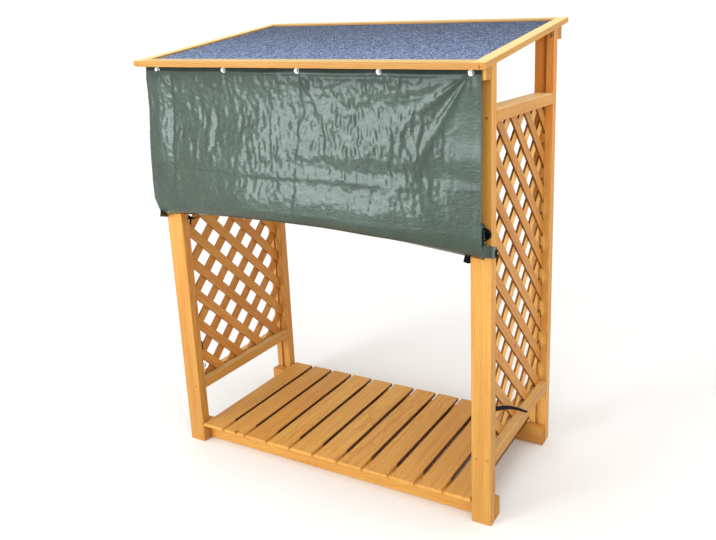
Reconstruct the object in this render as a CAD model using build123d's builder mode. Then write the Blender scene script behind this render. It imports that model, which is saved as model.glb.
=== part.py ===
from build123d import *
import math
import os

os.makedirs("parts", exist_ok=True)

# All lengths in millimetres, +Z up, +Y towards the back, ground at z = 0.

# Timber profile of the posts, rails and joists.
profile_width = 70.0
profile_thick = 38.0
edge_ease = 2.0
groove_width = 16.0
groove_depth = 9.0

# Frame seen from above, outside faces of the posts.
frame_width = 1310.0
frame_depth = 614.0

# Side panels: height over the ground, and the opening left under the roof at the front.
lower_rail_bottom = 220.0
vent_height = 127.4

# Trellis of crossed bars at 45 degrees, two layers.
bar_width = 36.0
bar_thick = 7.5
bar_pitch = 128.0
bar_angle_deg = 45.0
left_opening_y = 94.0
left_opening_z = 90.0
right_opening_y = 78.0
right_opening_z = 116.0

# Floor.
slat_width = 93.0
slat_thick = 12.0
slat_gap = 14.0
slat_side_gap = 5.0

# Roof, a single slope falling to the front.
roof_front_reach = 68.0
roof_rear_reach = 100.0
roof_side_reach = 8.0
roof_front_top = 1507.0
roof_fall_share = 0.153
felt_thick = 3.0
deck_thick = 12.0
trim_thick = 6.0
trim_width = 40.0
trim_drop = 18.0

# Top beams under the roof, height where they meet the posts.
beam_depth = 44.0
beam_height = 39.0

# Rolled-up cover in front of the front beam.
cover_inset = 14.0
cover_thick = 3.0
cover_hang = 530.0
cover_top_gap = 1.5
roll_height = 84.0
eyelet_diameter = 9.0

# Knobs that carry the cover.
knob_count = 5
knob_left_inset = 66.0
knob_right_inset = 30.0
knob_drop = 10.0
knob_neck_diameter = 8.0
knob_neck_length = 6.0
knob_head_diameter = 17.0
knob_head_length = 7.0
knob_round = 2.5

# Bands that hold the roll to the posts, and the tie straps lower down.
band_thick = 3.0
band_height = 36.0
band_lower = 8.0
band_fall = 28.0
strap_thick = 2.5
strap_width = 34.0
strap_bottom = 382.0
fold_depth = 13.0
fold_length = 18.0
fold_bend = 5.0
fold_clearance = 3.5
tail_reach = 290.0
tail_tip_width = 6.0

# Values that follow from the ones above.
half_width = frame_width / 2
roof_depth = roof_front_reach + frame_depth + roof_rear_reach
roof_front = -roof_depth / 2
roof_rear = roof_depth / 2
front_face = roof_front + roof_front_reach
rear_face = front_face + frame_depth
front_back = front_face + profile_thick
rear_front = rear_face - profile_thick
post_center = half_width - profile_width / 2
inner_face = half_width - profile_width
roof_half = half_width + roof_side_reach
roof_stack = trim_thick + felt_thick + deck_thick


def roof_top(y):
    return roof_front_top + (y - roof_front) * roof_fall_share


def roof_under(y):
    return roof_top(y) - roof_stack


lower_rail_top = lower_rail_bottom + profile_thick
upper_rail_bottom = roof_under(front_face) - vent_height - profile_thick
bay_depth = rear_front - front_back
bay_height = upper_rail_bottom - lower_rail_top
bay_mid_y = (front_back + rear_front) / 2
bay_mid_z = (lower_rail_top + upper_rail_bottom) / 2
cover_width = frame_width - cover_inset - cover_inset
half_cover = cover_width / 2
cover_back = front_face - beam_depth
cover_front = cover_back - cover_thick
cover_top = roof_under(cover_back) - cover_top_gap
cover_bottom = cover_top - cover_hang


def save(builder, name):
    builder.part.label = name
    export_step(builder.part, "parts/" + name + ".step")


def sloped_bar(y0, y1, upper, lower, x0, x1):
    # A bar between two heights under the roof line, plumb at both ends.
    with BuildSketch(Plane.YZ.offset(x0)) as outline:
        Polygon(
            (y0, roof_top(y0) - upper),
            (y1, roof_top(y1) - upper),
            (y1, roof_top(y1) - lower),
            (y0, roof_top(y0) - lower),
            align=None,
        )
    extrude(outline.sketch, amount=x1 - x0)


# Posts: eased edges, a full-length groove towards the other post, top cut to the roof.
def make_post(name, side, front, groove_side):
    x = side * post_center
    back = front + profile_thick
    groove_y = back if groove_side > 0 else front
    with BuildPart() as post:
        with BuildSketch(Plane.XY):
            with Locations((x, front + profile_thick / 2)):
                Rectangle(profile_width, profile_thick)
            chamfer(vertices(), edge_ease)
            with Locations((x, groove_y)):
                Rectangle(groove_width, groove_depth + groove_depth, mode=Mode.SUBTRACT)
        extrude(amount=roof_top(back))
        with BuildSketch(Plane.YZ.offset(x - profile_width)):
            Polygon(
                (front - profile_thick, roof_under(front - profile_thick)),
                (back + profile_thick, roof_under(back + profile_thick)),
                (back + profile_thick, roof_top(back + profile_thick) + roof_stack),
                (front - profile_thick, roof_top(front - profile_thick) + roof_stack),
                align=None,
            )
        extrude(amount=profile_width + profile_width, mode=Mode.SUBTRACT)
    save(post, name)


make_post("front_left_post", -1, front_face, 1)
make_post("front_right_post", 1, front_face, 1)
make_post("rear_left_post", -1, rear_front, -1)
make_post("rear_right_post", 1, rear_front, -1)


# Rails of the side panels: the same profile laid flat, groove towards the trellis.
def make_rail(name, side, bottom, groove_side):
    x = side * post_center
    top = bottom + profile_thick
    groove_z = top if groove_side > 0 else bottom
    with BuildPart() as rail:
        with BuildSketch(Plane.XZ.offset(-front_back)):
            with Locations((x, bottom + profile_thick / 2)):
                Rectangle(profile_width, profile_thick)
            chamfer(vertices(), edge_ease)
            with Locations((x, groove_z)):
                Rectangle(groove_width, groove_depth + groove_depth, mode=Mode.SUBTRACT)
        extrude(amount=-bay_depth)
    save(rail, name)


make_rail("left_lower_rail", -1, lower_rail_bottom, 1)
make_rail("right_lower_rail", 1, lower_rail_bottom, 1)
make_rail("left_upper_rail", -1, upper_rail_bottom, -1)
make_rail("right_upper_rail", 1, upper_rail_bottom, -1)


# Trellis: the outer (+X) layer falls to the back, the other layer climbs to the back.
def make_trellis(name, side, opening_y, opening_z):
    x = side * post_center
    panel_depth = bay_depth + groove_depth + groove_depth
    panel_height = bay_height + groove_depth + groove_depth
    reach = panel_depth + panel_height
    # distance of the wanted opening from the middle of the panel
    off_y = front_back + opening_y - bay_mid_y
    off_z = lower_rail_top + opening_z - bay_mid_z
    rise = math.tan(math.radians(bar_angle_deg))
    # bars closer than half a pitch to a corner are left out
    limit = (panel_depth * rise + panel_height - bar_pitch) / 2
    steps = int(reach / bar_pitch)
    with BuildPart() as trellis:
        for layer in (1, -1):
            start = x if layer > 0 else x - bar_thick
            first = off_z + layer * rise * off_y + bar_pitch / 2
            with BuildSketch(Plane.YZ.offset(start)):
                for step in range(-steps, steps + 1):
                    height = first + step * bar_pitch
                    if abs(height) > limit:
                        continue
                    with Locations((bay_mid_y, bay_mid_z + height)):
                        Rectangle(reach + reach, bar_width, rotation=-layer * bar_angle_deg)
                with Locations((bay_mid_y, bay_mid_z)):
                    Rectangle(panel_depth, panel_height, mode=Mode.INTERSECT)
            extrude(amount=bar_thick)
    save(trellis, name)


make_trellis("left_trellis", -1, left_opening_y, left_opening_z)
make_trellis("right_trellis", 1, right_opening_y, right_opening_z)


# Floor: two joists of the same profile on edge inside the posts, slats over both.
def make_joist(name, y):
    with BuildPart() as joist:
        with BuildSketch(Plane.YZ.offset(-half_width)):
            with Locations((y + profile_thick / 2, profile_width / 2)):
                Rectangle(profile_thick, profile_width)
            chamfer(vertices(), edge_ease)
        extrude(amount=frame_width)
    save(joist, name)


make_joist("front_floor_joist", front_back)
make_joist("rear_floor_joist", rear_front - profile_thick)

slat_room = inner_face + inner_face - slat_side_gap - slat_side_gap
slat_count = round((slat_room + slat_gap) / (slat_width + slat_gap))
slat_pitch = (slat_room - slat_width) / (slat_count - 1)
slat_first = slat_side_gap - inner_face + slat_width / 2
for index in range(slat_count):
    with BuildPart() as slat:
        with BuildSketch(Plane.XZ.offset(-front_face)):
            with Locations((slat_first + index * slat_pitch, profile_width + slat_thick / 2)):
                Rectangle(slat_width, slat_thick)
            chamfer(vertices().group_by(Axis.Y)[-1], edge_ease)
        extrude(amount=-frame_depth)
    save(slat, "floor_slat_%02d" % (index + 1))


# Beams under the roof: one on the front of the front posts, one behind the rear posts.
def make_beam(name, y0, bottom):
    y1 = y0 + beam_depth
    with BuildPart() as beam:
        with BuildSketch(Plane.YZ.offset(-half_width)):
            Polygon(
                (y0, bottom),
                (y1, bottom),
                (y1, roof_under(y1)),
                (y0, roof_under(y0)),
                align=None,
            )
            chamfer(vertices().group_by(Axis.Y)[0], edge_ease)
        extrude(amount=frame_width)
    save(beam, name)


make_beam("front_top_beam", cover_back, roof_under(front_face) - beam_height)
make_beam("rear_top_beam", rear_face, roof_under(rear_face) - beam_height)

# Roof deck and felt inside the trims.
with BuildPart() as roof_deck:
    sloped_bar(roof_front + trim_thick, roof_rear - trim_thick, trim_thick + felt_thick, roof_stack,
               trim_thick - roof_half, roof_half - trim_thick)
save(roof_deck, "roof_deck")

with BuildPart() as roof_felt:
    sloped_bar(roof_front + trim_thick, roof_rear - trim_thick, trim_thick, trim_thick + felt_thick,
               trim_thick - roof_half, roof_half - trim_thick)
save(roof_felt, "roof_felt")


# Trims of L section: the side ones run through, the front and rear ones fit between them.
def make_side_trim(name, side):
    outer = side * roof_half
    flat = side * (roof_half - trim_width)
    wall = side * (roof_half - trim_thick)
    with BuildPart() as trim:
        sloped_bar(roof_front, roof_rear, 0, trim_thick, min(outer, flat), max(outer, flat))
        sloped_bar(roof_front, roof_rear, 0, trim_drop, min(outer, wall), max(outer, wall))
        outside = trim.faces().sort_by(Axis.X)[-1 if side > 0 else 0]
        chamfer(outside.edges().sort_by(lambda e: e.center().Z)[-1], edge_ease)
    save(trim, name)


make_side_trim("left_roof_trim", -1)
make_side_trim("right_roof_trim", 1)


def make_end_trim(name, edge, inward):
    flat = edge + inward * trim_width
    wall = edge + inward * trim_thick
    with BuildPart() as trim:
        sloped_bar(min(edge, flat), max(edge, flat), 0, trim_thick,
                   trim_width - roof_half, roof_half - trim_width)
        sloped_bar(min(edge, wall), max(edge, wall), trim_thick, trim_drop,
                   trim_thick - roof_half, roof_half - trim_thick)
    save(trim, name)


make_end_trim("front_roof_trim", roof_front, 1)
make_end_trim("rear_roof_trim", roof_rear, -1)

# Cover: hanging sheet with its lower half rolled up behind it, eyelets along the top.
knob_z = cover_top - knob_drop
knob_first = knob_left_inset - half_cover
knob_span = cover_width - knob_left_inset - knob_right_inset
knob_pitch = knob_span / (knob_count - 1)
roll_depth = front_face - cover_front
with BuildPart() as rain_cover:
    with BuildSketch(Plane.YZ.offset(-half_cover)):
        Polygon(
            (cover_front, cover_bottom + roll_height / 2),
            (cover_back, cover_bottom + roll_height / 2),
            (cover_back, cover_top),
            (cover_front, cover_top),
            align=None,
        )
        with Locations((cover_front + roll_depth / 2, cover_bottom + roll_height / 2)):
            SlotOverall(roll_height, roll_depth, rotation=90)
    extrude(amount=cover_width)
    for index in range(knob_count):
        with BuildSketch(Plane.XZ.offset(-cover_front)):
            with Locations((knob_first + index * knob_pitch, knob_z)):
                Circle(eyelet_diameter / 2)
        extrude(amount=-cover_thick, mode=Mode.SUBTRACT)
save(rain_cover, "rain_cover")

# Knobs: a neck on the beam through the eyelet and a rounded head.
neck = knob_neck_diameter / 2
head = knob_head_diameter / 2
for index in range(knob_count):
    x = knob_first + index * knob_pitch
    with BuildPart() as knob:
        with BuildSketch(Plane.XY.offset(knob_z)):
            with BuildLine():
                Polyline(
                    (x, cover_back),
                    (x + neck, cover_back),
                    (x + neck, cover_back - knob_neck_length),
                    (x + head, cover_back - knob_neck_length),
                    (x + head, cover_back - knob_neck_length - knob_head_length),
                    (x, cover_back - knob_neck_length - knob_head_length),
                    close=True,
                )
            make_face()
        revolve(axis=Axis((x, cover_back, knob_z), (0, 1, 0)))
        rim = knob.edges().filter_by(GeomType.CIRCLE).sort_by(Axis.Y)[0]
        chamfer([rim], knob_round)
    save(knob, "cover_knob_%d" % (index + 1))


# Bands from the ends of the roll, falling to the back round the outside of the front posts.
def make_band(name, side):
    start = side * half_cover
    wall = side * half_width
    skin = side * (half_width + band_thick)
    front_low = cover_bottom - band_lower
    back_low = front_low - band_fall
    with BuildPart() as band:
        with BuildSketch(Plane.XY.offset(back_low)):
            Polygon(
                (start, cover_front),
                (start + side * band_thick, cover_front),
                (skin, front_face - band_thick),
                (skin, front_back),
                (wall, front_back),
                (wall, front_face - band_thick),
                (start, cover_front + band_thick + band_thick),
                align=None,
            )
        extrude(amount=band_fall + band_height)
        with BuildSketch(Plane.YZ.offset(-roof_half)):
            Polygon(
                (cover_front, front_low),
                (front_back, back_low),
                (front_back, back_low + band_height),
                (cover_front, front_low + band_height),
                align=None,
            )
        extrude(amount=2 * roof_half, mode=Mode.INTERSECT)
    save(band, name)


make_band("left_cover_band", -1)
make_band("right_cover_band", 1)


# Tie straps: a folded end on the back of each front post, on the right with a loose tail.
def make_strap(name, start, way, with_tail):
    end = start + way * fold_length
    bend = way * fold_bend
    with BuildPart() as strap:
        with BuildSketch(Plane.XY.offset(strap_bottom)):
            Polygon(
                (start, front_back),
                (start, front_back + fold_depth - fold_bend),
                (start + bend, front_back + fold_depth),
                (end - bend, front_back + fold_depth),
                (end, front_back + fold_depth - fold_bend),
                (end, front_back),
                align=None,
            )
        extrude(amount=strap_width)
        if with_tail:
            tip = front_back + tail_reach
            with BuildSketch(Plane.YZ.offset(start + way * (fold_length - strap_thick) / 2)):
                Polygon(
                    (front_back, strap_bottom),
                    (tip, lower_rail_top),
                    (tip, lower_rail_top + tail_tip_width),
                    (front_back, strap_bottom + strap_width),
                    align=None,
                )
            extrude(amount=strap_thick * way)
    save(strap, name)


fold_offset = bar_thick + fold_clearance
make_strap("left_tie_strap", fold_offset - post_center, 1, False)
make_strap("right_tie_strap", fold_offset + post_center, 1, True)
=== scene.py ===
import math

import bpy
import numpy as np
from mathutils import Matrix, Vector


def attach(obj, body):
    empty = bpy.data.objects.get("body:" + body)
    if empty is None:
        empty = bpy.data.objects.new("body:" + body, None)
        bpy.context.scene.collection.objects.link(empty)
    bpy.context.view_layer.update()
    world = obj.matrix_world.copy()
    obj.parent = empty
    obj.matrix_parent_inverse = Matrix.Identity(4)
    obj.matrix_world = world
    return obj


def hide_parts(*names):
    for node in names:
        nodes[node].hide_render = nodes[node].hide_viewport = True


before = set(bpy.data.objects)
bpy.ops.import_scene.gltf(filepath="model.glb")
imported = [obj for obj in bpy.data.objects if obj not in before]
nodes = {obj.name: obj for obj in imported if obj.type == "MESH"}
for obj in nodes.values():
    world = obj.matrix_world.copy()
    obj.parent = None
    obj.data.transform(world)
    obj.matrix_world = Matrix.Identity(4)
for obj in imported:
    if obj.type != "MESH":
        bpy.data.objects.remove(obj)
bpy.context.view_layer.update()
print("frame: %d solids loaded" % len(nodes))


# small helpers for meshes: every surface is an array of points on a grid
def gridFaces(rows, cols, closeRows=False, closeCols=False):
    r, c = np.meshgrid(np.arange(rows - (not closeRows)), np.arange(cols - (not closeCols)), indexing="ij")
    below, beside = (r + 1) % rows, (c + 1) % cols
    corners = [r * cols + c, r * cols + beside, below * cols + beside, below * cols + c]
    return np.stack(corners, -1).reshape(-1, 4)


def makePiece(name, points, faces, material, uv=None, slot=None, smooth=True, stands=None):
    mesh = bpy.data.meshes.new(name)
    mesh.from_pydata(np.asarray(points, float).reshape(-1, 3).tolist(), [], faces)
    mesh.polygons.foreach_set("use_smooth", np.full(len(mesh.polygons), smooth))
    if uv is not None:
        corner = np.empty(len(mesh.loops), np.int32)
        mesh.loops.foreach_get("vertex_index", corner)
        layer = mesh.uv_layers.new(name="UVMap")
        layer.data.foreach_set("uv", np.asarray(uv, np.float32).reshape(-1, 2)[corner].ravel())
    mesh.validate()
    mesh.update()
    piece = bpy.data.objects.new(name, mesh)
    bpy.context.scene.collection.objects.link(piece)
    mesh.materials.append(material)
    if slot:
        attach(piece, "root")
    if stands:
        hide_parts(stands)
    return piece


def step(low, high, value):
    # smoothstep: 0 below low, 1 above high, 3t^2 - 2t^3 between
    t = np.clip((value - low) / (high - low), 0, 1)
    return t * t * (3 - 2 * t)


def smoothPath(points, count):
    # Catmull-Rom curve through the points, count samples spread evenly over the spans
    p = np.asarray(points, float)
    p = np.vstack([2 * p[0] - p[1], p, 2 * p[-1] - p[-2]])
    at = np.linspace(0, len(p) - 3 - 1e-9, count)
    i = at.astype(int)
    t = (at - i)[:, None]
    a, b, c, d = p[i], p[i + 1], p[i + 2], p[i + 3]
    curve = 2 * b + (c - a) * t + (2 * a - 5 * b + 4 * c - d) * t ** 2
    return 0.5 * (curve + (3 * b - a - 3 * c + d) * t ** 3)


def webbingStrip(path, across, width, thick):
    # a flat rounded section, width x thick, carried along the path; across is the direction of its width
    path = np.asarray(path, float)
    along = np.gradient(path, axis=0)
    along /= np.linalg.norm(along, axis=1, keepdims=True)
    across = np.asarray(across, float) - (across * along).sum(1, keepdims=True) * along
    across /= np.linalg.norm(across, axis=1, keepdims=True)
    face = np.cross(along, across)
    w = np.broadcast_to(np.asarray(width, float), len(path))[:, None, None] / 2
    side = np.array([-0.97, -0.5, 0, 0.5, 0.97, 1, 0.97, 0.5, 0, -0.5, -0.97, -1])
    lift = np.array([1, 1, 1, 1, 1, 0, -1, -1, -1, -1, -1, 0]) * thick / 2
    points = path[:, None] + across[:, None] * side[:, None] * w + face[:, None] * lift[:, None]
    rows, cols = points.shape[:2]
    faces = gridFaces(rows, cols, closeCols=True).tolist()
    faces += [list(range(cols))[::-1], [(rows - 1) * cols + c for c in range(cols)]]
    run = np.concatenate([[0], np.cumsum(np.linalg.norm(np.diff(path, axis=0), axis=1))])
    uv = np.stack(np.broadcast_arrays(side[None] * w[:, :, 0], run[:, None]), -1)
    return points, faces, uv


def lathe(profile, segments):
    # profile (radius, height) turned about Z; the last profile point is the pole on the axis
    r, h = np.asarray(profile, float).T
    turn = np.linspace(0, 2 * np.pi, segments, endpoint=False)
    ring = np.stack([r[:-1, None] * np.cos(turn), r[:-1, None] * np.sin(turn),
                     np.repeat(h[:-1, None], segments, 1)], -1)
    points = np.vstack([ring.reshape(-1, 3), [[0, 0, h[-1]]]])
    base = (len(r) - 2) * segments
    nextTo = (np.arange(segments) + 1) % segments
    faces = gridFaces(len(r) - 1, segments, closeCols=True).tolist()
    faces += [[base + i, base + j, len(points) - 1] for i, j in enumerate(nextTo.tolist())]
    return points, faces


def placeCopies(points, faces, frames):
    # the same small shape at every (origin, x, y, z directions) row, as one mesh
    points = np.asarray(points)
    every = np.concatenate([f[0] + points @ np.asarray(f[1:]) for f in np.asarray(frames, float)])
    return every, [[v + k * len(points) for v in face] for k in range(len(frames)) for face in faces]


# small helpers for shader nodes
def feed(tree, socket, value):
    if isinstance(value, bpy.types.NodeSocket):
        tree.links.new(value, socket)
    else:
        socket.default_value = value


def add(tree, kind, inputs=None, **settings):
    node = tree.nodes.new("ShaderNode" + kind)
    for key, value in settings.items():
        setattr(node, key, value)
    for key, value in (inputs or {}).items():
        feed(tree, node.inputs[key], value)
    return node


def calc(tree, operation, a, b=0.0, c=0.0):
    return add(tree, "Math", {0: a, 1: b, 2: c}, operation=operation).outputs[0]


def vector(tree, operation, a, b=(0, 0, 0), c=(0, 0, 0)):
    node = add(tree, "VectorMath", {0: a, 1: b, 2: c}, operation=operation)
    return node.outputs["Value" if operation in ("DOT_PRODUCT", "LENGTH") else "Vector"]


def times(tree, a, b):
    return calc(tree, "MULTIPLY", a, b)


def timesPlus(tree, a, b, c):
    return calc(tree, "MULTIPLY_ADD", a, b, c)


def minus(tree, a, b):
    return calc(tree, "SUBTRACT", a, b)


def stretch(tree, place, scale):
    return vector(tree, "MULTIPLY", place, scale)


def split(tree, value):
    return add(tree, "SeparateXYZ", {0: value}).outputs


def apart(tree, a, b):
    return calc(tree, "ABSOLUTE", minus(tree, a, b))


def noise(tree, place, scale=1.0, detail=2.0, rough=0.5, distort=0.0):
    inputs = {"Vector": place, "Scale": scale, "Detail": detail, "Roughness": rough, "Distortion": distort}
    return add(tree, "TexNoise", inputs).outputs["Fac"]


def spread(tree, value, low, high, toLow=0.0, toHigh=1.0):
    inputs = {"Value": value, "From Min": low, "From Max": high, "To Min": toLow, "To Max": toHigh}
    return add(tree, "MapRange", inputs, interpolation_type="SMOOTHSTEP").outputs[0]


def mix(tree, factor, a, b, blend="MIX"):
    return add(tree, "Mix", {0: factor, 6: a, 7: b}, data_type="RGBA", blend_type=blend).outputs[2]


def newGroup(name, inputs, outputs):
    tree = bpy.data.node_groups.new(name, "ShaderNodeTree")
    for label, kind, value in inputs:
        socket = tree.interface.new_socket(label, in_out="INPUT", socket_type="NodeSocket" + kind)
        socket.default_value = value
    for label, kind in outputs:
        tree.interface.new_socket(label, in_out="OUTPUT", socket_type="NodeSocket" + kind)
    return tree, tree.nodes.new("NodeGroupInput").outputs, tree.nodes.new("NodeGroupOutput").inputs


def newMaterial(name, **constants):
    material = bpy.data.materials.new(name)
    material.use_nodes = True
    tree = material.node_tree
    shader = tree.nodes["Principled BSDF"]
    for label, value in constants.items():
        shader.inputs[label].default_value = value
    return material, tree, shader


def useGroup(tree, group, **inputs):
    node = add(tree, "Group", node_tree=group)
    for label, value in inputs.items():
        feed(tree, node.inputs[label], value)
    return node.outputs


def paint(tree, shader, colour, roughness):
    feed(tree, shader.inputs["Base Color"], colour)
    feed(tree, shader.inputs["Roughness"], roughness)


def bumpUp(tree, shader, height, strength, distance):
    inputs = {"Height": height, "Strength": strength, "Distance": distance}
    tree.links.new(add(tree, "Bump", inputs).outputs[0], shader.inputs["Normal"])


def linear(r, g, b):
    # screen colour 0-255 to linear light
    c = np.array([r, g, b]) / 255
    return tuple(np.where(c > 0.04045, ((c + 0.055) / 1.055) ** 2.4, c / 12.92)) + (1.0,)


def dimmed(colour, share):
    return tuple(share * c for c in colour[:3]) + (1,)


# camera: the photograph's viewing angle
camera = {
    "place": (1.44662, -2.30328, 1.61011),
    "yaw": 26.9583, "pitch": 14.6347, "roll": -1.1764,  # degrees
    "focal": 744.35, "centre": (426.67, 218.94), "frame": (716, 540),  # pixels
}


def makeCamera(c):
    yaw, pitch, roll = (math.radians(c[k]) for k in ("yaw", "pitch", "roll"))
    ahead = np.array([-math.sin(yaw) * math.cos(pitch), math.cos(yaw) * math.cos(pitch), -math.sin(pitch)])
    right = np.array([math.cos(yaw), math.sin(yaw), 0])
    up = np.cross(right, ahead)
    sideways = math.cos(roll) * right + math.sin(roll) * up
    upright = math.cos(roll) * up - math.sin(roll) * right
    data = bpy.data.cameras.new("camera")
    wide, high = c["frame"]
    data.sensor_width, data.sensor_fit = 36, "HORIZONTAL"
    data.lens = 36 * c["focal"] / wide
    data.shift_x = (wide / 2 - c["centre"][0]) / wide
    data.shift_y = (c["centre"][1] - high / 2) / wide
    data.clip_end = 100
    holder = bpy.data.objects.new("camera", data)
    bpy.context.scene.collection.objects.link(holder)
    turned = Matrix(np.column_stack([sideways, upright, -ahead]).tolist()).to_4x4()
    holder.matrix_world = Matrix.Translation(c["place"]) @ turned
    bpy.context.scene.camera = holder


makeCamera(camera)

# studio: pale dome, soft light from overhead, a low window in front on the left, a weak fill, a dished floor
studio = {
    "dome": 0.76,
    "overhead": {"from": (0.32, -0.62, 1.0), "spread": 110, "strength": 2.1},  # degrees
    "window": {"place": (-2.14, -4.30, 1.38), "aim": (0.22, -0.37, 1.25), "size": (1.7, 1.6), "watts": 134,
               "colour": (0.90, 0.98, 1.0)},
    "fill": {"place": (1.5, -3.6, 1.9), "aim": (0.5, -0.3, 1.0), "size": (1.6, 1.6), "watts": 9,
             "colour": (1, 1, 1)},
    "floorReach": 18.0, "flatReach": 4.0, "floorColour": linear(232, 232, 230),
}


def aimLamp(name, data, place, aim):
    lamp = bpy.data.objects.new(name, data)
    bpy.context.scene.collection.objects.link(lamp)
    away = Vector(place) - Vector(aim)
    lamp.matrix_world = Matrix.Translation(place) @ away.to_track_quat("Z", "Y").to_matrix().to_4x4()


def makeStudio(s):
    world = bpy.data.worlds.new("dome")
    bpy.context.scene.world = world
    world.use_nodes = True
    world.node_tree.nodes["Background"].inputs["Color"].default_value = (1.0, 1.0, 1.0, 1)
    world.node_tree.nodes["Background"].inputs["Strength"].default_value = s["dome"]
    sun = bpy.data.lights.new("overhead", "SUN")
    sun.energy = s["overhead"]["strength"]
    sun.angle = math.radians(s["overhead"]["spread"])
    aimLamp("overhead", sun, s["overhead"]["from"], (0, 0, 0))
    for name in ("window", "fill"):
        pane = bpy.data.lights.new(name, "AREA")
        pane.shape = "RECTANGLE"
        pane.size, pane.size_y = s[name]["size"]
        pane.energy = s[name]["watts"]
        pane.color = s[name]["colour"]
        aimLamp(name, pane, s[name]["place"], s[name]["aim"])
    material, tree, shader = newMaterial("paleFloor", Roughness=0.75)
    place = add(tree, "TexCoord").outputs["Object"]
    cloud = spread(tree, noise(tree, place, 1.5, 3), 0.3, 0.7)
    pale = s["floorColour"]
    feed(tree, shader.inputs["Base Color"], mix(tree, cloud, pale, dimmed(pale, 0.97)))
    # a wide dish: flat under the object, its rim rising with the square of the distance beyond the flat
    reach, turn = np.meshgrid(np.linspace(0.05, s["floorReach"], 80),
                              np.linspace(0, 2 * np.pi, 72, endpoint=False), indexing="ij")
    rise = np.maximum(reach - s["flatReach"], 0) ** 2 / 50 - 0.0005
    faces = gridFaces(80, 72, closeCols=True)[:, ::-1].tolist() + [list(range(72))]
    points = np.stack([reach * np.cos(turn), reach * np.sin(turn), rise], -1)
    makePiece("floor", points, faces, material)


makeStudio(studio)
bpy.context.scene.view_settings.view_transform = "Standard"
print("studio: camera, lights and floor")

# wood: one grain group, laid along each member by its own material
wood = {
    "pale": linear(210, 161, 82), "dark": linear(179, 114, 44), "knot": linear(116, 60, 22),
    "trellisPale": linear(206, 150, 72), "trellisDark": linear(172, 102, 36),
    # colour that faces turned upwards are painted towards: painted light on the tops
    "bleached": linear(240, 208, 142),
    "jointTint": (0.16, 0.09, 0.05, 1), "grooveShade": (0.55, 0.40, 0.32, 1),
    "ringSpacing": 0.0070, "knotCell": 0.13, "knotShare": 0.45,
    "ringShade": 0.34, "streakShade": 0.32, "fibreShade": 0.13, "boardShade": 0.30, "knotShade": 0.72,
    "roughness": 0.48, "bump": 0.16, "specular": 0.22,
}


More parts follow.
